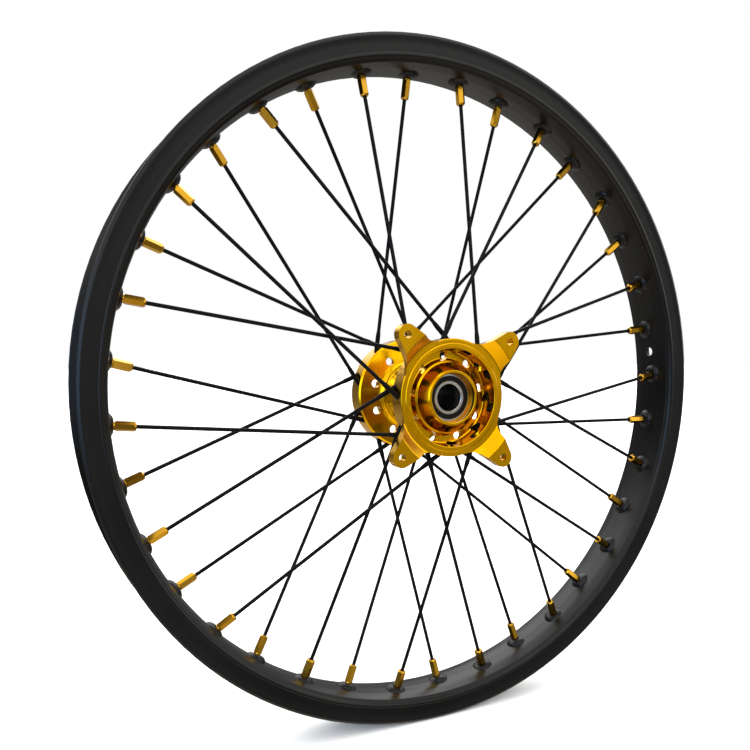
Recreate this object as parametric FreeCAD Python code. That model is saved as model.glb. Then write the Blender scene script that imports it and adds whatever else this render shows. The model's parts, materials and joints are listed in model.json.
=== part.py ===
"""Spoked motorcycle wheel: 21 x 1.60 rim, 36 spokes, hub with a four-lug brake disc flange.

The wheel turns about the Y axis and its centre is the origin. The brake disc side faces -Y,
+Z is up and every length is in millimetres. Angles are in degrees in the XZ plane, from +X
towards +Z. "Radius" always means the distance from the Y axis.
"""
import FreeCAD
import Part

import math
import os

Vector = FreeCAD.Vector
WHEEL_AXIS = Vector(0, 1, 0)
DISC_SIDE = -1
FAR_SIDE = 1

# Rim: 21 inch bead seat, 1.60 inch between the flanges
RIM_RADIUS = 280.5
BEAD_SEAT_RADIUS = 267.45
RIM_WIDTH = 50.0
FLANGE_GAP = 40.6
FLOOR_RADIUS = 257.6
WELL_RADIUS = 261.3
RIDGE_RADIUS = 264.9
VALVE_HOLE_DIAMETER = 8.5
VALVE_HOLE_ANGLE = 8.4
RIM_LOCK_HOLE_ANGLE = VALVE_HOLE_ANGLE + 180.0

# Spoke lacing: each flange holds nine crossed pairs, 40 degrees apart
PAIRS_PER_FLANGE = 9
PAIR_STEP = 360.0 / PAIRS_PER_FLANGE
FIRST_NIPPLE_ANGLE = 3.4
SECTOR_START = FIRST_NIPPLE_ANGLE - 5.0   # halfway between two nipples
FIRST_PAIR_ANGLE = {DISC_SIDE: FIRST_NIPPLE_ANGLE + 10.0, FAR_SIDE: FIRST_NIPPLE_ANGLE}
SPOKE_REACH = 30.0          # from a pair's centre to the nipple of either spoke
HOLE_OFFSET = 4.2           # from a pair's centre to the hub hole of either spoke
SEAT_RADIUS = 258.0         # where a spoke's axis meets the rim
SEAT_OFFSET = 3.3           # of that point from the wheel's centre plane
OUTER_HOLE_Y = 40.5         # of the hub holes, from the centre plane
INNER_HOLE_Y = 34.5

# Spoke
SHANK_DIAMETER = 3.0
BUTT_DIAMETER = 4.0
THREAD_DIAMETER = 3.5
BUTT_LENGTH = 13.0          # outside the hub
SPOKE_HEAD_DIAMETER = 7.2
SPOKE_HEAD_DEPTH = 8.0      # of the head's seat under the hub ring's surface
SPOKE_HEAD_THICKNESS = 2.4
SPOKE_HOLE_DIAMETER = 4.2
POCKET_DIAMETER = 8.6

# Nipple, measured along its spoke from the rim seat; the hub lies at positive distances
NIPPLE_FLATS = 6.5
NIPPLE_TIP = 18.6
NIPPLE_HEX_START = 4.0
NIPPLE_NECK_DIAMETER = 6.0
NIPPLE_HEAD_DIAMETER = 9.0
NIPPLE_HEAD_START = -1.5
NIPPLE_HEAD_END = -4.6
NIPPLE_BORE_DIAMETER = 3.6
BOSS_TOP = 3.1

# Hub
RING_RADIUS = 47.5
RING_OUTER_Y = 47.0
RING_INNER_Y = 31.0
CUP_RADIUS = 39.4
WEB_OUTER_Y = 32.5
WEB_HOLE_DIAMETER = 7.0
WEB_HOLE_RADIUS = 34.0
WEB_HOLE_ANGLE = {DISC_SIDE: 12.0, FAR_SIDE: 3.4}
BOSS_RADIUS = 22.0
BOSS_END_Y = 47.5
SEAL_RECESS_RADIUS = 20.0
BARREL_RADIUS = 20.5
BARREL_BORE_RADIUS = 17.0

# Brake disc lugs
LUG_COUNT = 4
LUG_ANGLE = 42.0
LUG_CIRCLE_RADIUS = 67.0
LUG_END_RADIUS = 8.2
LUG_HOLE_DIAMETER = 6.0
LUG_FACE_Y = 54.0
LUG_BACK_Y = 46.0
LUG_HALF_ANGLE = 15.0
LUG_ROOT_FILLET = 16.0

# Bearings: 22 x 39 x 9 deep-groove, sealed both sides
BEARING_BORE = 22.0
BEARING_DIAMETER = 39.0
BEARING_WIDTH = 9.0
BEARING_CENTRE_Y = 36.0
BALL_DIAMETER = 4.76
BALL_COUNT = 13
PITCH_RADIUS = (BEARING_BORE + BEARING_DIAMETER) / 4.0
GROOVE_CLEARANCE = 0.1
INNER_LAND_RADIUS = 13.6
OUTER_LAND_RADIUS = 17.0
SEAL_SEAT_RADIUS = 17.65
SEAL_THICKNESS = 0.9
SEAL_INSET = 0.25
SEAL_LIP_CLEARANCE = 0.08
CAGE_HALF_WIDTH = 2.95
CAGE_HALF_THICKNESS = 1.2
SPACER_RADIUS = 13.2


def polar(radius, angle, y):
    """Point at a radius and an angle about the wheel's axis."""
    turn = math.radians(angle)
    return Vector(radius * math.cos(turn), y, radius * math.sin(turn))


def turned(shape, angle):
    """Copy of a shape turned about the wheel's axis, from +X towards +Z."""
    copy = shape.copy()
    copy.rotate(Vector(0, 0, 0), WHEEL_AXIS, -angle)
    return copy


def rounded_wire(corners):
    """Closed wire in the XY plane. Each corner is (x, y) or (x, y, fillet radius)."""
    count = len(corners)
    starts, ends, edges = [], [], []
    for index, corner in enumerate(corners):
        here = Vector(corner[0], corner[1], 0)
        radius = corner[2] if len(corner) > 2 else 0.0
        if radius == 0.0:
            starts.append(here)
            ends.append(here)
            edges.append(None)
            continue
        before = Vector(*corners[index - 1][:2], 0) - here
        after = Vector(*corners[(index + 1) % count][:2], 0) - here
        before.normalize()
        after.normalize()
        half = before.getAngle(after) / 2.0
        reach = radius / math.tan(half)
        bisector = before + after
        bisector.normalize()
        middle = here + bisector * (radius / math.sin(half) - radius)
        starts.append(here + before * reach)
        ends.append(here + after * reach)
        edges.append(Part.Arc(starts[-1], middle, ends[-1]).toShape())
    outline = []
    for index in range(count):
        if edges[index] is not None:
            outline.append(edges[index])
        following = starts[(index + 1) % count]
        if ends[index].distanceToPoint(following) > 1e-6:
            outline.append(Part.LineSegment(ends[index], following).toShape())
    return Part.Wire(outline)


def revolved(corners, axis=WHEEL_AXIS):
    """Solid of revolution of a rounded outline; x is the radius and y runs along the axis."""
    face = Part.Face(rounded_wire(corners))
    return face.revolve(Vector(0, 0, 0), axis, 360)


def along(line_start, direction, corners):
    """Solid of revolution about a line: each corner is (radius, distance along the line)."""
    solid = revolved(corners)
    turn = FreeCAD.Rotation(WHEEL_AXIS, direction)
    solid.Placement = FreeCAD.Placement(line_start, turn)
    return solid


def tube(inner_radius, outer_radius, y_low, y_high, chamfer=0.0):
    """Plain ring about the wheel's axis with chamfered outer and inner end edges."""
    if chamfer == 0.0:
        corners = [(inner_radius, y_low), (outer_radius, y_low),
                   (outer_radius, y_high), (inner_radius, y_high)]
    else:
        corners = [(inner_radius + chamfer, y_low), (outer_radius - chamfer, y_low),
                   (outer_radius, y_low + chamfer), (outer_radius, y_high - chamfer),
                   (outer_radius - chamfer, y_high), (inner_radius + chamfer, y_high),
                   (inner_radius, y_high - chamfer), (inner_radius, y_low + chamfer)]
    return revolved(corners)


def mirrored_outline(half):
    """Full outline from its half at y > 0, listed from the centre plane back to it."""
    other = [(corner[0], -corner[1]) + tuple(corner[2:]) for corner in reversed(half)]
    return half + other


def spoke_line(side, lean, pair=0):
    """Rim seat, unit direction towards the hub, and distance to the hub ring's surface.

    A spoke with lean +1 runs from its nipple to a hub hole at a larger angle, past its
    pair's centre, so the two spokes of a pair cross just outside the hub.
    """
    centre = FIRST_PAIR_ANGLE[side] + PAIR_STEP * pair
    outer = lean == 1 if side == DISC_SIDE else lean == -1
    hole_y = OUTER_HOLE_Y if outer else INNER_HOLE_Y
    seat = polar(SEAT_RADIUS, centre - SPOKE_REACH * lean, side * SEAT_OFFSET)
    hole = polar(RING_RADIUS, centre + HOLE_OFFSET * lean, side * hole_y)
    direction = hole - seat
    length = direction.Length
    direction.normalize()
    return seat, direction, length


def every_spoke():
    """Side, lean and pair number of all 36 spokes."""
    for side in (DISC_SIDE, FAR_SIDE):
        for lean in (1, -1):
            for pair in range(PAIRS_PER_FLANGE):
                yield side, lean, pair


def make_rim():
    """Rim with a drop-centre well, nipple bosses, nipple seats, valve and rim lock holes."""
    half_gap = FLANGE_GAP / 2.0
    half_width = RIM_WIDTH / 2.0
    half = [
        (FLOOR_RADIUS, 0.0),
        (FLOOR_RADIUS + 0.5, 11.0, 30.0),
        (FLOOR_RADIUS + 1.6, 16.5, 20.0),
        (FLOOR_RADIUS + 2.4, half_gap - 0.1, 0.8),
        (FLOOR_RADIUS + 4.6, half_gap + 1.3, 0.8),
        (FLOOR_RADIUS + 5.4, half_gap + 2.6, 0.4),
        # a small rounded ridge runs round the foot of each flange
        (RIDGE_RADIUS - 1.4, half_width - 1.7, 0.5),
        (RIDGE_RADIUS - 0.7, half_width - 1.3, 0.5),
        (RIDGE_RADIUS + 0.6, half_width - 1.3, 0.5),
        (RIDGE_RADIUS + 1.4, half_width - 1.6, 0.6),
        (RIM_RADIUS - 7.0, half_width - 0.9, 30.0),
        (RIM_RADIUS - 2.6, half_width, 2.0),
        (RIM_RADIUS, half_width - 1.2, 1.2),
        # the flange curves away from the tyre bead near its lip
        (RIM_RADIUS, half_gap + 2.2, 0.9),
        (RIM_RADIUS - 9.0, half_gap, 11.0),
        (BEAD_SEAT_RADIUS + 0.1, half_gap, 2.6),
        (BEAD_SEAT_RADIUS - 0.5, half_gap - 6.4, 1.5),
        (WELL_RADIUS + 0.4, half_gap - 11.0, 3.0),
        (WELL_RADIUS, 0.0),
    ]
    # one sector carries one pair from each side; the rest of the rim repeats it.
    # the outline closes on itself across the centre plane
    outline = Part.Face(rounded_wire(mirrored_outline(half)))
    sector = outline.revolve(Vector(0, 0, 0), WHEEL_AXIS, PAIR_STEP)
    sector.rotate(Vector(0, 0, 0), WHEEL_AXIS, -(SECTOR_START + PAIR_STEP))
    bosses, seats = [], []
    for side, lean, pair in every_spoke():
        seat, direction, _ = spoke_line(side, lean, pair)
        seat_angle = math.degrees(math.atan2(seat.z, seat.x))
        if not 0.0 < (seat_angle - SECTOR_START) % 360.0 < PAIR_STEP:
            continue
        bosses.append(along(seat, direction, [
            (0, -1.8), (9.5, -1.8), (9.0, 0.1, 0.8), (7.2, 2.0, 4.0),
            (4.6, BOSS_TOP, 1.6), (0, BOSS_TOP)]))
        seats.append(along(seat, direction, [
            (0, -9.0), (4.75, -9.0), (4.75, -3.1), (3.15, -1.5), (3.15, BOSS_TOP - 0.7),
            (4.25, BOSS_TOP + 0.4), (4.25, 8.0), (0, 8.0)]))
    # bosses stay on the spoke side of the floor
    well = revolved([(WELL_RADIUS + 0.4, -8.0), (RIM_RADIUS - 5.0, -8.0),
                     (RIM_RADIUS - 5.0, 8.0), (WELL_RADIUS + 0.4, 8.0)])
    sector = sector.fuse(bosses).cut(seats + [well])
    sectors = []
    for number in range(PAIRS_PER_FLANGE):
        copy = sector.copy()
        copy.rotate(Vector(0, 0, 0), WHEEL_AXIS, PAIR_STEP * number)
        sectors.append(copy)
    rim = sectors[0].fuse(sectors[1:])
    holes = []
    for angle in (VALVE_HOLE_ANGLE, RIM_LOCK_HOLE_ANGLE):
        start = polar(FLOOR_RADIUS - 8.0, angle, 0)
        outward = polar(1.0, angle, 0)
        holes.append(Part.makeCylinder(VALVE_HOLE_DIAMETER / 2.0, 20.0, start, outward))
    return rim.cut(holes)


def make_spoke(side, lean):
    """Spoke of the first pair: threaded end, shank, heavier butt and a head in the hub."""
    seat, direction, length = spoke_line(side, lean)
    thread = THREAD_DIAMETER / 2.0
    shank = SHANK_DIAMETER / 2.0
    butt = BUTT_DIAMETER / 2.0
    head = SPOKE_HEAD_DIAMETER / 2.0
    butt_start = length - BUTT_LENGTH
    under_head = length + SPOKE_HEAD_DEPTH
    top = under_head + SPOKE_HEAD_THICKNESS
    return along(seat, direction, [
        (0, -2.6), (thread - 0.4, -2.6), (thread, -2.2), (thread, NIPPLE_TIP - 2.0),
        (shank, NIPPLE_TIP - 1.4), (shank, butt_start - 5.0), (butt, butt_start),
        (butt, under_head), (head, under_head), (head, top, 0.8), (0, top)])


def make_nipple(side, lean):
    """Nipple of the first pair: hexagon, round neck through the rim and a coned head."""
    seat, direction, _ = spoke_line(side, lean)
    corner_radius = NIPPLE_FLATS / math.sqrt(3.0)
    corners = [Vector(corner_radius * math.cos(math.radians(60 * i)), NIPPLE_HEX_START,
                      corner_radius * math.sin(math.radians(60 * i))) for i in range(7)]
    hexagon = Part.Face(Part.makePolygon(corners)).extrude(
        WHEEL_AXIS * (NIPPLE_TIP - NIPPLE_HEX_START))
    # both ends of the hexagon are turned to a cone
    turning = revolved([
        (0, NIPPLE_HEX_START), (3.1, NIPPLE_HEX_START), (4.0, NIPPLE_HEX_START + 0.5),
        (4.0, NIPPLE_TIP - 2.0), (2.6, NIPPLE_TIP), (0, NIPPLE_TIP)])
    neck = NIPPLE_NECK_DIAMETER / 2.0
    head = NIPPLE_HEAD_DIAMETER / 2.0
    shoulder = NIPPLE_HEAD_START - 0.04
    stem = revolved([
        (0, NIPPLE_HEAD_END), (head, NIPPLE_HEAD_END, 0.6), (head, shoulder - (head - neck)),
        (neck, shoulder), (neck, NIPPLE_HEX_START + 1.0), (0, NIPPLE_HEX_START + 1.0)])
    bore = Part.makeCylinder(NIPPLE_BORE_DIAMETER / 2.0, 40.0, Vector(0, -10, 0), WHEEL_AXIS)
    slot = Part.makeBox(NIPPLE_HEAD_DIAMETER + 2.0, 1.0, 1.2,
                        Vector(-head - 1.0, NIPPLE_HEAD_END, -0.6))
    nipple = hexagon.common(turning).fuse(stem).cut([bore, slot])
    nipple.Placement = FreeCAD.Placement(seat, FreeCAD.Rotation(WHEEL_AXIS, direction))
    return nipple


def hub_half(side):
    """Outline of one half of the hub shell, from the barrel's outside back to its bore."""
    lip_y = RING_OUTER_Y + 0.5
    half = [
        (BARREL_RADIUS, 0.0),
        (BARREL_RADIUS + 0.8, 14.0, 30.0),
        (27.0, 27.6, 9.0),
        (RING_RADIUS - 1.6, RING_INNER_Y, 0.6),
        (RING_RADIUS, RING_INNER_Y + 1.2, 0.6),
        (RING_RADIUS, RING_OUTER_Y, 0.9),
        (CUP_RADIUS + 4.2, RING_OUTER_Y, 0.4),
        (CUP_RADIUS + 3.8, lip_y, 0.3),
        (CUP_RADIUS, lip_y, 0.6),
        (CUP_RADIUS - 0.8, WEB_OUTER_Y, 2.0),
        (30.8, WEB_OUTER_Y, 1.5),
        (30.0, 37.4, 0.6),
        (28.2, 38.2, 0.6),
        (26.0, 41.6, 3.0),
        (23.0, 46.2, 2.0),
        (BOSS_RADIUS, BOSS_END_Y, 0.5),
        (SEAL_RECESS_RADIUS, BOSS_END_Y, 0.5),
        (SEAL_RECESS_RADIUS, BEARING_CENTRE_Y + BEARING_WIDTH / 2.0),
        (BEARING_DIAMETER / 2.0, BEARING_CENTRE_Y + BEARING_WIDTH / 2.0),
        (BEARING_DIAMETER / 2.0, BEARING_CENTRE_Y - BEARING_WIDTH / 2.0),
        (BARREL_BORE_RADIUS, BEARING_CENTRE_Y - BEARING_WIDTH / 2.0),
        (BARREL_BORE_RADIUS, 0.0),
    ]
    return [(corner[0], side * corner[1]) + tuple(corner[2:]) for corner in half]


def lug_plan(angle):
    """Plan of one lug, from the ring to its rounded end, as a tall prism."""
    spread = math.radians(LUG_HALF_ANGLE)
    root_x = RING_RADIUS - 3.0
    tip_x = LUG_CIRCLE_RADIUS
    tangent_x = tip_x + LUG_END_RADIUS * math.sin(spread)
    tangent_z = LUG_END_RADIUS * math.cos(spread)

    # the lug's straight side meets the ring through a concave arc of LUG_ROOT_FILLET
    side_normal = Vector(math.sin(spread), 0, math.cos(spread))
    side_point = Vector(tangent_x, 0, tangent_z)
    offset = side_point.dot(side_normal) + LUG_ROOT_FILLET
    reach = RING_RADIUS + LUG_ROOT_FILLET
    along_side = math.sqrt(reach ** 2 - offset ** 2)
    side_direction = Vector(-math.cos(spread), 0, math.sin(spread))
    centre = side_normal * offset + side_direction * -along_side
    touch_side = centre - side_normal * LUG_ROOT_FILLET
    inward = Vector(centre)
    inward.normalize()
    touch_ring = centre - inward * LUG_ROOT_FILLET
    to_middle = (touch_side - centre).normalize() + (touch_ring - centre).normalize()
    middle = centre + to_middle.normalize() * LUG_ROOT_FILLET

    def mirror(point):
        return Vector(point.x, 0, -point.z)

    inner = Vector(root_x * math.cos(0.3), 0, touch_ring.z * 0.8)
    edges = [
        Part.LineSegment(mirror(inner), mirror(touch_ring)).toShape(),
        Part.Arc(mirror(touch_ring), mirror(middle), mirror(touch_side)).toShape(),
        Part.LineSegment(mirror(touch_side), mirror(side_point)).toShape(),
        Part.Arc(mirror(side_point), Vector(tip_x + LUG_END_RADIUS, 0, 0),
                 side_point).toShape(),
        Part.LineSegment(side_point, touch_side).toShape(),
        Part.Arc(touch_side, middle, touch_ring).toShape(),
        Part.LineSegment(touch_ring, inner).toShape(),
        Part.LineSegment(inner, mirror(inner)).toShape(),
    ]
    prism = Part.Face(Part.Wire(edges)).extrude(Vector(0, 30, 0))
    prism.translate(Vector(0, -65, 0))
    return turned(prism, angle)


def make_lugs():
    """Four dog-leg lugs: level with the ring at their root, proud of it at the disc face."""
    profile = revolved([
        (RING_RADIUS - 5.0, -RING_OUTER_Y), (RING_RADIUS + 1.5, -RING_OUTER_Y, 2.0),
        (57.5, -LUG_FACE_Y, 1.0), (82.0, -LUG_FACE_Y), (82.0, -LUG_BACK_Y),
        (60.0, -LUG_BACK_Y, 4.0), (RING_RADIUS, -43.6, 1.0), (RING_RADIUS - 5.0, -43.6)])
    lugs = [lug_plan(LUG_ANGLE + 360.0 / LUG_COUNT * i).common(profile)
            for i in range(LUG_COUNT)]
    return lugs


def make_hub():
    """One-piece hub: barrel, two spoke flanges, bearing bosses and the brake disc lugs."""
    far = hub_half(FAR_SIDE)
    near = list(reversed(hub_half(DISC_SIDE)))
    body = revolved(far + near).fuse(make_lugs())
    cuts = []
    for side, lean, pair in every_spoke():
        seat, direction, length = spoke_line(side, lean, pair)
        hole = SPOKE_HOLE_DIAMETER / 2.0
        pocket = POCKET_DIAMETER / 2.0
        floor = length + SPOKE_HEAD_DEPTH
        cuts.append(along(seat, direction, [
            (0, length - 8.0), (hole, length - 8.0), (hole, floor), (pocket, floor),
            (pocket, floor + 7.0), (0, floor + 7.0)]))
    for side in (DISC_SIDE, FAR_SIDE):
        for pair in range(PAIRS_PER_FLANGE):
            centre = polar(WEB_HOLE_RADIUS, WEB_HOLE_ANGLE[side] + PAIR_STEP * pair, side * 24)
            cuts.append(Part.makeCylinder(WEB_HOLE_DIAMETER / 2.0, 12.0, centre,
                                          WHEEL_AXIS * side))
    for i in range(LUG_COUNT):
        centre = polar(LUG_CIRCLE_RADIUS, LUG_ANGLE + 360.0 / LUG_COUNT * i, -LUG_FACE_Y - 1)
        cuts.append(Part.makeCylinder(LUG_HOLE_DIAMETER / 2.0, 20.0, centre, WHEEL_AXIS))
    return body.cut(cuts)


def make_bearing(side):
    """Sealed ball bearing of one side, as a dictionary of its separate pieces."""
    centre = side * BEARING_CENTRE_Y
    low = centre - BEARING_WIDTH / 2.0
    high = centre + BEARING_WIDTH / 2.0
    bore = BEARING_BORE / 2.0
    outside = BEARING_DIAMETER / 2.0
    seal_depth = SEAL_INSET + SEAL_THICKNESS
    groove = Part.makeTorus(PITCH_RADIUS, BALL_DIAMETER / 2.0 + GROOVE_CLEARANCE,
                            Vector(0, centre, 0), WHEEL_AXIS)
    outer = revolved([
        (OUTER_LAND_RADIUS, low + seal_depth), (SEAL_SEAT_RADIUS, low + seal_depth),
        (SEAL_SEAT_RADIUS, low), (outside - 0.4, low), (outside, low + 0.4),
        (outside, high - 0.4), (outside - 0.4, high), (SEAL_SEAT_RADIUS, high),
        (SEAL_SEAT_RADIUS, high - seal_depth), (OUTER_LAND_RADIUS, high - seal_depth)])
    inner = tube(bore, INNER_LAND_RADIUS, low, high, chamfer=0.3)
    balls = [Part.makeSphere(BALL_DIAMETER / 2.0, polar(PITCH_RADIUS, 360.0 / BALL_COUNT * i,
                                                        centre)) for i in range(BALL_COUNT)]
    pockets = [Part.makeCylinder(BALL_DIAMETER / 2.0 + GROOVE_CLEARANCE, 5.0,
                                 polar(PITCH_RADIUS - 2.5, 360.0 / BALL_COUNT * i, centre),
                                 polar(1.0, 360.0 / BALL_COUNT * i, 0))
               for i in range(BALL_COUNT)]
    cage = tube(PITCH_RADIUS - CAGE_HALF_THICKNESS, PITCH_RADIUS + CAGE_HALF_THICKNESS,
                centre - CAGE_HALF_WIDTH, centre + CAGE_HALF_WIDTH)
    seals = []
    for start in (low + SEAL_INSET, high - SEAL_INSET - SEAL_THICKNESS):
        seals.append(tube(INNER_LAND_RADIUS + SEAL_LIP_CLEARANCE, SEAL_SEAT_RADIUS,
                          start, start + SEAL_THICKNESS))
    outboard = 0 if side == DISC_SIDE else 1
    return {
        "bearing_outer_race": outer.cut(groove),
        "bearing_inner_race": inner.cut(groove),
        "bearing_balls": Part.makeCompound(balls),
        "bearing_cage": cage.cut(pockets),
        "bearing_outboard_seal": seals[outboard],
        "bearing_inboard_seal": seals[1 - outboard],
    }


def make_parts():
    """Every piece of the wheel by its node name."""
    parts = {"rim": make_rim(), "hub_shell": make_hub()}
    nipples = []
    for side, label in ((DISC_SIDE, "disc"), (FAR_SIDE, "far")):
        for lean in (1, -1):
            kind = "outer" if (lean == 1) == (side == DISC_SIDE) else "inner"
            spoke = make_spoke(side, lean)
            nipple = make_nipple(side, lean)
            for pair in range(PAIRS_PER_FLANGE):
                turn = PAIR_STEP * pair
                parts["spoke_%s_%s_%d" % (label, kind, pair + 1)] = turned(spoke, turn)
                nipples.append(turned(nipple, turn))
        for piece, shape in make_bearing(side).items():
            parts["%s_%s_side" % (piece, label)] = shape
    parts["spoke_nipples"] = Part.makeCompound(nipples)
    inner_face = BEARING_CENTRE_Y - BEARING_WIDTH / 2.0
    parts["bearing_spacer_tube"] = tube(BEARING_BORE / 2.0, SPACER_RADIUS,
                                        -inner_face, inner_face)
    return parts


# pieces that must come out as one solid
SINGLE_PIECES = ("rim", "hub_shell", "bearing_spacer_tube")


def main():
    os.makedirs("parts", exist_ok=True)
    for name, shape in make_parts().items():
        if not shape.isValid():
            raise RuntimeError("invalid shape: " + name)
        if name in SINGLE_PIECES and len(shape.Solids) != 1:
            raise RuntimeError("more than one solid: " + name)
        shape.exportStep("parts/%s.step" % name)
        print("%-32s %2d solid(s) %12.1f mm3" % (name, len(shape.Solids), shape.Volume))


main()
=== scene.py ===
"""Looks of the spoked motorcycle wheel: materials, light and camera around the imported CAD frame.

Lengths are in metres. The wheel turns about the Y axis, its brake disc side faces -Y and +Z is up.
"""

import json
import math

import bpy
from mathutils import Matrix, Vector


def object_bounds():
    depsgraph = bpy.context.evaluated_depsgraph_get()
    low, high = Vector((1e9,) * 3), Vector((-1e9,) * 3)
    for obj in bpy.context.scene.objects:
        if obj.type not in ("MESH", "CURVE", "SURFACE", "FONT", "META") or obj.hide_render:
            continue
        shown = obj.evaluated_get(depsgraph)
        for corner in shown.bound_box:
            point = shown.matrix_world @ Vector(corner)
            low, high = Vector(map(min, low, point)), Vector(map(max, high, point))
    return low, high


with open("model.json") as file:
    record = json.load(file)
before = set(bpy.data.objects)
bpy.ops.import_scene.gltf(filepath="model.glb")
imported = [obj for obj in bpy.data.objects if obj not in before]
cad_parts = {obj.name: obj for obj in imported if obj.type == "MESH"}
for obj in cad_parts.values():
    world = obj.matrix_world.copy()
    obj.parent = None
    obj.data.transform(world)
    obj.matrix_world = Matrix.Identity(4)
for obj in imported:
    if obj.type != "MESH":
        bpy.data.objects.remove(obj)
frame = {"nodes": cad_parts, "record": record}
CAD_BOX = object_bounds()
NODES = frame["nodes"]

WHITE = (1.0, 1.0, 1.0)
WHEEL_CENTRE = (0.0, 0.0, 0.0)

# ---------------------------------------------------------------- camera
# where the camera stands around the wheel and above it, in degrees, and how far off
CAMERA_AZIMUTH = -28.03
CAMERA_ELEVATION = 7.96
CAMERA_DISTANCE = 0.6959
# how far it is then moved to its own right and upwards
CAMERA_SIDE = -0.01509
CAMERA_RISE = -0.0627
CAMERA_CLIP = (0.01, 60.0)
# the sensor in millimetres, with the lens and the shift as parts of its width
SENSOR = 36.0
FOCAL_OVER_WIDTH = 1.0861
SHIFT = (-0.0429, 0.1251)


def make_camera():
    azimuth = math.radians(CAMERA_AZIMUTH)
    elevation = math.radians(CAMERA_ELEVATION)
    back = Vector((math.sin(azimuth) * math.cos(elevation),
                   -math.cos(azimuth) * math.cos(elevation), math.sin(elevation)))
    right = Vector((math.cos(azimuth), math.sin(azimuth), 0.0))
    up = back.cross(right)
    data = bpy.data.cameras.new("camera")
    data.sensor_width = SENSOR
    data.lens = FOCAL_OVER_WIDTH * SENSOR
    data.shift_x, data.shift_y = SHIFT
    data.clip_start, data.clip_end = CAMERA_CLIP
    camera = bpy.data.objects.new("camera", data)
    place = right * CAMERA_SIDE + up * CAMERA_RISE + back * CAMERA_DISTANCE
    turn = Matrix((right, up, back)).transposed().to_4x4()
    camera.matrix_world = Matrix.Translation(place) @ turn
    bpy.context.scene.collection.objects.link(camera)
    bpy.context.scene.camera = camera


make_camera()


# ---------------------------------------------------------------- node trees
class Graph:
    """A node tree, with short calls for the nodes used here."""

    def __init__(self, tree):
        self.tree = tree

    def add(self, kind, **settings):
        node = self.tree.nodes.new(kind)
        for key, value in settings.items():
            setattr(node, key, value)
        return node

    def link(self, source, target):
        self.tree.links.new(source, target)

    def fill(self, socket, value):
        """Links another node's output to the socket, or sets a constant on it."""
        if hasattr(value, "is_output"):
            self.link(value, socket)
        else:
            socket.default_value = value

    def math(self, operation, first, second=0.0):
        node = self.add("ShaderNodeMath", operation=operation)
        self.fill(node.inputs[0], first)
        self.fill(node.inputs[1], second)
        return node.outputs[0]

    def axes(self, vector):
        split = self.add("ShaderNodeSeparateXYZ")
        self.link(vector, split.inputs[0])
        return split.outputs

    def spread(self, value, low, high, start=0.3, end=0.7):
        """Maps the range start..end, by default most of a noise's range, onto low..high."""
        node = self.add("ShaderNodeMapRange")
        self.link(value, node.inputs["Value"])
        node.inputs["From Min"].default_value = start
        node.inputs["From Max"].default_value = end
        node.inputs["To Min"].default_value = low
        node.inputs["To Max"].default_value = high
        return node.outputs["Result"]

    def colours(self, value, stops):
        """Colour ramp over 0..1; each stop is a position and a colour."""
        node = self.add("ShaderNodeValToRGB")
        self.link(value, node.inputs["Fac"])
        elements = node.color_ramp.elements
        while len(elements) < len(stops):
            elements.new(0.5)
        for element, (position, colour) in zip(elements, stops):
            element.position = position
            element.color = (*colour, 1.0)
        return node.outputs["Color"]


class MaterialGraph(Graph):
    """A new material with one Principled shader. Noise scales are in waves per metre."""

    def __init__(self, name):
        self.material = bpy.data.materials.new(name)
        self.material.use_nodes = True
        super().__init__(self.material.node_tree)
        self.tree.nodes.clear()
        self.shader = self.add("ShaderNodeBsdfPrincipled")
        output = self.add("ShaderNodeOutputMaterial")
        self.link(self.shader.outputs[0], output.inputs["Surface"])
        self.place = self.add("ShaderNodeTexCoord").outputs["Object"]

    def set(self, **values):
        for key, value in values.items():
            self.fill(self.shader.inputs[key.replace("_", " ")], value)

    def two_tone(self, value, dark, light, start=0.3, end=0.7):
        return self.colours(value, ((start, dark), (end, light)))

    def noise(self, scale, detail=3.0, roughness=0.6, vector=None):
        node = self.add("ShaderNodeTexNoise")
        self.link(vector or self.place, node.inputs["Vector"])
        node.inputs["Scale"].default_value = scale
        node.inputs["Detail"].default_value = detail
        node.inputs["Roughness"].default_value = roughness
        return node.outputs["Fac"]

    def radius_and_y(self):
        """Distance from the wheel's axis and place along it."""
        x, y, z = self.axes(self.place)
        square = self.math("ADD", self.math("MULTIPLY", x, x), self.math("MULTIPLY", z, z))
        return self.math("SQRT", square), y

    def turning(self, scale, detail=4.0):
        """Fine rings about the wheel's axis, as a lathe leaves them."""
        radius, y = self.radius_and_y()
        join = self.add("ShaderNodeCombineXYZ")
        self.link(self.math("MULTIPLY", radius, scale), join.inputs[0])
        self.link(self.math("MULTIPLY", y, scale), join.inputs[1])
        return self.noise(1.0, detail, vector=join.outputs[0])

    def bump(self, height, distance, strength, before=None):
        node = self.add("ShaderNodeBump")
        self.link(height, node.inputs["Height"])
        node.inputs["Distance"].default_value = distance
        node.inputs["Strength"].default_value = strength
        if before is not None:
            self.link(before, node.inputs["Normal"])
        return node.outputs["Normal"]


# ---------------------------------------------------------------- materials
# base colours: the black and gold ones as a darker and a lighter tone
RIM_BLACK = (0.0018, 0.0018, 0.0020), (0.0030, 0.0030, 0.0033)
HUB_GOLD = (0.50, 0.252, 0.001), (0.57, 0.294, 0.003)
NIPPLE_GOLD = (0.36, 0.190, 0.014), (0.45, 0.245, 0.020)
SPOKE_BLACK = (0.0025, 0.0025, 0.003), (0.005, 0.005, 0.005)
SEAL_BLACK = (0.003, 0.003, 0.003), (0.007, 0.007, 0.006)
SPACER_BLACK = (0.003, 0.003, 0.0035), (0.006, 0.006, 0.0065)
CAGE_STEEL = (0.52, 0.50, 0.47)
RACE_STEEL = (0.36, 0.35, 0.34)
# part of the steel's colour that is left where it's stained
STAINED_PART = 0.72

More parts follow.
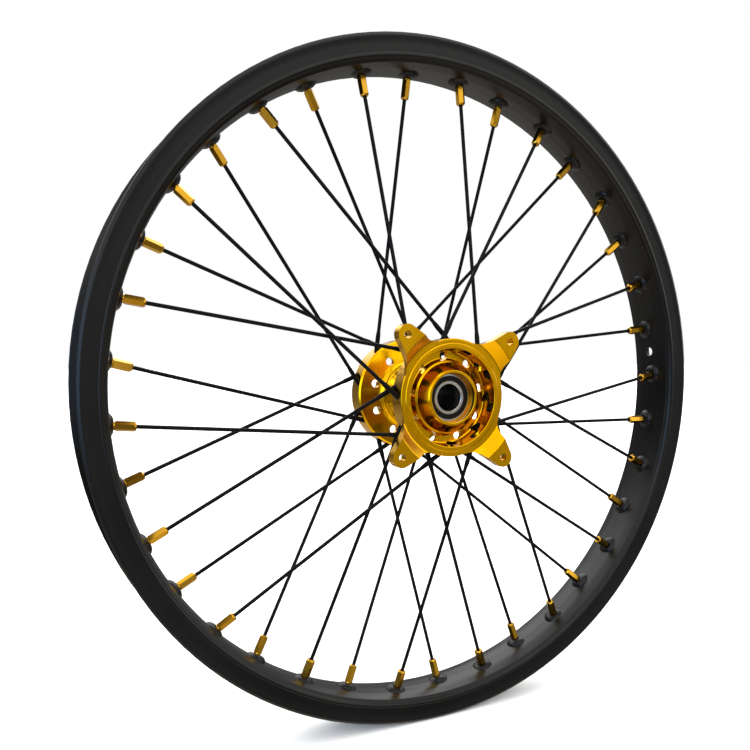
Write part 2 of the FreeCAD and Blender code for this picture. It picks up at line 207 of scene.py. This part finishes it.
# the rim's tyre side lies outside this radius and between the flanges, and is smoother
TYRE_SIDE_RADIUS = 0.2632
TYRE_SIDE_HALF_WIDTH = 0.0224
TYRE_SIDE_SMOOTHER = 0.14


def black_anodised():
    g = MaterialGraph("rim_black_anodised")
    broad = g.noise(9.0, roughness=0.55)
    grain = g.noise(3200.0)
    radius, y = g.radius_and_y()
    outer = g.math("GREATER_THAN", radius, TYRE_SIDE_RADIUS)
    between = g.math("LESS_THAN", g.math("ABSOLUTE", y), TYRE_SIDE_HALF_WIDTH)
    smoother = g.math("MULTIPLY", g.math("MULTIPLY", outer, between), TYRE_SIDE_SMOOTHER)
    rough = g.math("ADD", g.spread(broad, 0.27, 0.33), g.spread(grain, -0.04, 0.04))
    lathe = g.bump(g.turning(2600.0, detail=3.0), 0.00004, 0.35)
    g.set(Base_Color=g.two_tone(broad, *RIM_BLACK),
          Metallic=0.0,
          Specular_IOR_Level=0.17,
          Roughness=g.math("SUBTRACT", rough, smoother),
          Normal=g.bump(grain, 0.00005, 0.5, lathe))
    return g.material


def gold_anodised(name, tones):
    g = MaterialGraph(name)
    broad = g.noise(28.0, roughness=0.5)
    rings = g.turning(1700.0)
    grain = g.noise(2600.0)
    turned = g.bump(rings, 0.00006, 0.3)
    g.set(Base_Color=g.two_tone(broad, *tones, start=0.32, end=0.68),
          Metallic=1.0,
          Roughness=g.math("ADD", g.spread(rings, 0.13, 0.25), g.spread(broad, -0.02, 0.03)),
          Normal=g.bump(grain, 0.00003, 0.25, turned))
    return g.material


def black_steel():
    g = MaterialGraph("spoke_black_steel")
    broad = g.noise(60.0, roughness=0.5)
    grain = g.noise(2400.0)
    g.set(Base_Color=g.two_tone(broad, *SPOKE_BLACK),
          Specular_IOR_Level=0.04,
          Roughness=g.math("ADD", g.spread(broad, 0.26, 0.36), g.spread(grain, -0.03, 0.05)),
          Normal=g.bump(grain, 0.00003, 0.4))
    return g.material


def turned_steel(name, tint, roughness):
    g = MaterialGraph(name)
    rings = g.turning(5200.0)
    stain = g.noise(180.0)
    stained = tuple(STAINED_PART * channel for channel in tint)
    streaks = g.spread(rings, roughness - 0.05, roughness + 0.08)
    g.set(Base_Color=g.two_tone(stain, stained, tint, end=0.62),
          Metallic=1.0,
          Roughness=g.math("ADD", streaks, g.spread(stain, 0.05, -0.02)),
          Normal=g.bump(rings, 0.00003, 0.5))
    return g.material


def seal_rubber():
    g = MaterialGraph("seal_rubber")
    grain = g.noise(1500.0, detail=4.0)
    dust = g.noise(240.0)
    moulded = g.bump(g.turning(1300.0, detail=2.0), 0.00015, 0.5)
    g.set(Base_Color=g.two_tone(dust, *SEAL_BLACK, start=0.35, end=0.75),
          Specular_IOR_Level=0.1,
          Roughness=g.spread(grain, 0.42, 0.58),
          Normal=g.bump(grain, 0.00005, 0.5, moulded))
    return g.material


def spacer_black():
    g = MaterialGraph("spacer_black_anodised")
    rings = g.turning(3000.0)
    g.set(Base_Color=g.two_tone(rings, *SPACER_BLACK),
          Specular_IOR_Level=0.12,
          Roughness=g.spread(rings, 0.16, 0.28),
          Normal=g.bump(rings, 0.00005, 0.5))
    return g.material


MATERIALS = {
    "rim_black_anodised": black_anodised(),
    "hub_gold_anodised": gold_anodised("hub_gold_anodised", HUB_GOLD),
    "nipple_gold_anodised": gold_anodised("nipple_gold_anodised", NIPPLE_GOLD),
    "spoke_black_steel": black_steel(),
    "seal_rubber": seal_rubber(),
    "spacer_black_anodised": spacer_black(),
    "cage_steel": turned_steel("cage_steel", CAGE_STEEL, 0.34),
    "bearing_steel": turned_steel("bearing_steel", RACE_STEEL, 0.24),
}


def dress_nodes():
    slots = {part["node"]: part["material_slot"] for part in frame["record"]["subparts"]}
    for name, node in NODES.items():
        node.data.materials.clear()
        node.data.materials.append(MATERIALS[slots[name]])


dress_nodes()


# ---------------------------------------------------------------- floor and light
FLOOR_SIZE = 40.0
FLOOR_GAP = 0.0005
FLOOR_PALE = (0.86, 0.86, 0.86), (0.88, 0.88, 0.88)

# light from each height as parts of SKY_STRENGTH: sine of the elevation, colour
SKY_STRENGTH = 5.0
# on the camera's side
FRONT_SKY = (
    (-1.0, (0.400, 0.360, 0.300)),
    (-0.80, (0.270, 0.240, 0.195)),
    (-0.60, (0.130, 0.112, 0.090)),
    (-0.32, (0.045, 0.040, 0.033)),
    (-0.17, (0.130, 0.125, 0.117)),
    (0.0, (0.120, 0.117, 0.112)),
    (0.08, (0.140, 0.138, 0.132)),
    (0.16, (0.700, 0.680, 0.640)),
    (0.30, (0.470, 0.460, 0.440)),
    (1.0, (0.330, 0.325, 0.310)),
)
# behind the wheel
BACK_SKY = (
    (-1.0, (0.180, 0.170, 0.155)),
    (-0.60, (0.190, 0.180, 0.160)),
    (-0.35, (0.120, 0.113, 0.100)),
    (-0.15, (0.055, 0.053, 0.050)),
    (0.20, (0.040, 0.041, 0.043)),
    (0.38, (0.240, 0.242, 0.245)),
    (0.60, (0.950, 0.940, 0.920)),
    (1.0, (0.400, 0.400, 0.395)),
)
# the front sky's steps are lower towards +X than towards -X
SKY_TILT = 0.15
# the front sky fades into the back one between these Y parts of the direction looked in
SKY_BLEND = (-0.1, 0.4)

# softboxes aimed at the wheel's centre: name, place, width and height, watts, colour
COLD_BLUE = (0.36, 0.62, 1.0)
SOFTBOXES = (
    ("top_softbox", (0.1, -0.5, 1.7), (1.4, 1.0), 6.0, WHITE),
    ("left_softbox", (-1.5, -1.0, 0.15), (1.5, 0.9), 20.0, COLD_BLUE),
)


def make_floor():
    low, _ = CAD_BOX
    bpy.ops.mesh.primitive_plane_add(size=FLOOR_SIZE, location=(0.0, 0.0, low.z - FLOOR_GAP))
    floor = bpy.context.object
    floor.name = "floor"
    g = MaterialGraph("floor_pale")
    cloudy = g.noise(3.0, detail=4.0, roughness=0.5)
    g.set(Base_Color=g.two_tone(cloudy, *FLOOR_PALE), Roughness=0.9, Specular_IOR_Level=0.1)
    floor.data.materials.append(g.material)
    # the wheel is lit from below by the sky, not by the floor
    floor.visible_diffuse = False
    floor.visible_glossy = False


def add_sky(g, height, stops):
    """Colours of one sky over the sine of the elevation, which the ramp takes as 0..1."""
    return g.colours(height, [((sine + 1.0) / 2.0, colour) for sine, colour in stops])


def make_world():
    """White behind the object; the light on it changes with height and from front to back."""
    world = bpy.data.worlds.new("studio")
    world.use_nodes = True
    g = Graph(world.node_tree)
    x, y, z = g.axes(g.add("ShaderNodeTexCoord").outputs["Generated"])
    # the tilted steps keep their heights halfway towards +X
    lift = SKY_TILT / 2.0
    tilted = g.math("ADD", g.math("MULTIPLY", x, SKY_TILT), z)
    front = add_sky(g, g.spread(tilted, 0.0, 1.0, lift - 1.0, lift + 1.0), FRONT_SKY)
    back = add_sky(g, g.spread(z, 0.0, 1.0, -1.0, 1.0), BACK_SKY)
    blend = g.add("ShaderNodeMixRGB")
    g.link(g.spread(y, 0.0, 1.0, *SKY_BLEND), blend.inputs["Fac"])
    g.link(front, blend.inputs["Color1"])
    g.link(back, blend.inputs["Color2"])
    lit = g.add("ShaderNodeBackground")
    lit.inputs["Strength"].default_value = SKY_STRENGTH
    g.link(blend.outputs[0], lit.inputs["Color"])
    seen = world.node_tree.nodes["Background"]
    seen.inputs["Color"].default_value = (*WHITE, 1.0)
    mix = g.add("ShaderNodeMixShader")
    g.link(g.add("ShaderNodeLightPath").outputs["Is Camera Ray"], mix.inputs[0])
    g.link(lit.outputs[0], mix.inputs[1])
    g.link(seen.outputs[0], mix.inputs[2])
    g.link(mix.outputs[0], world.node_tree.nodes["World Output"].inputs["Surface"])
    bpy.context.scene.world = world


def area_light(name, place, size, watts, colour):
    data = bpy.data.lights.new(name, "AREA")
    data.shape = "RECTANGLE"
    data.size, data.size_y = size
    data.energy = watts
    data.color = colour
    light = bpy.data.objects.new(name, data)
    light.location = place
    aim = Vector(WHEEL_CENTRE) - Vector(place)
    light.rotation_euler = aim.to_track_quat("-Z", "Y").to_euler()
    bpy.context.scene.collection.objects.link(light)


make_floor()
make_world()
for softbox in SOFTBOXES:
    area_light(*softbox)
bpy.context.scene.view_settings.view_transform = "Standard"
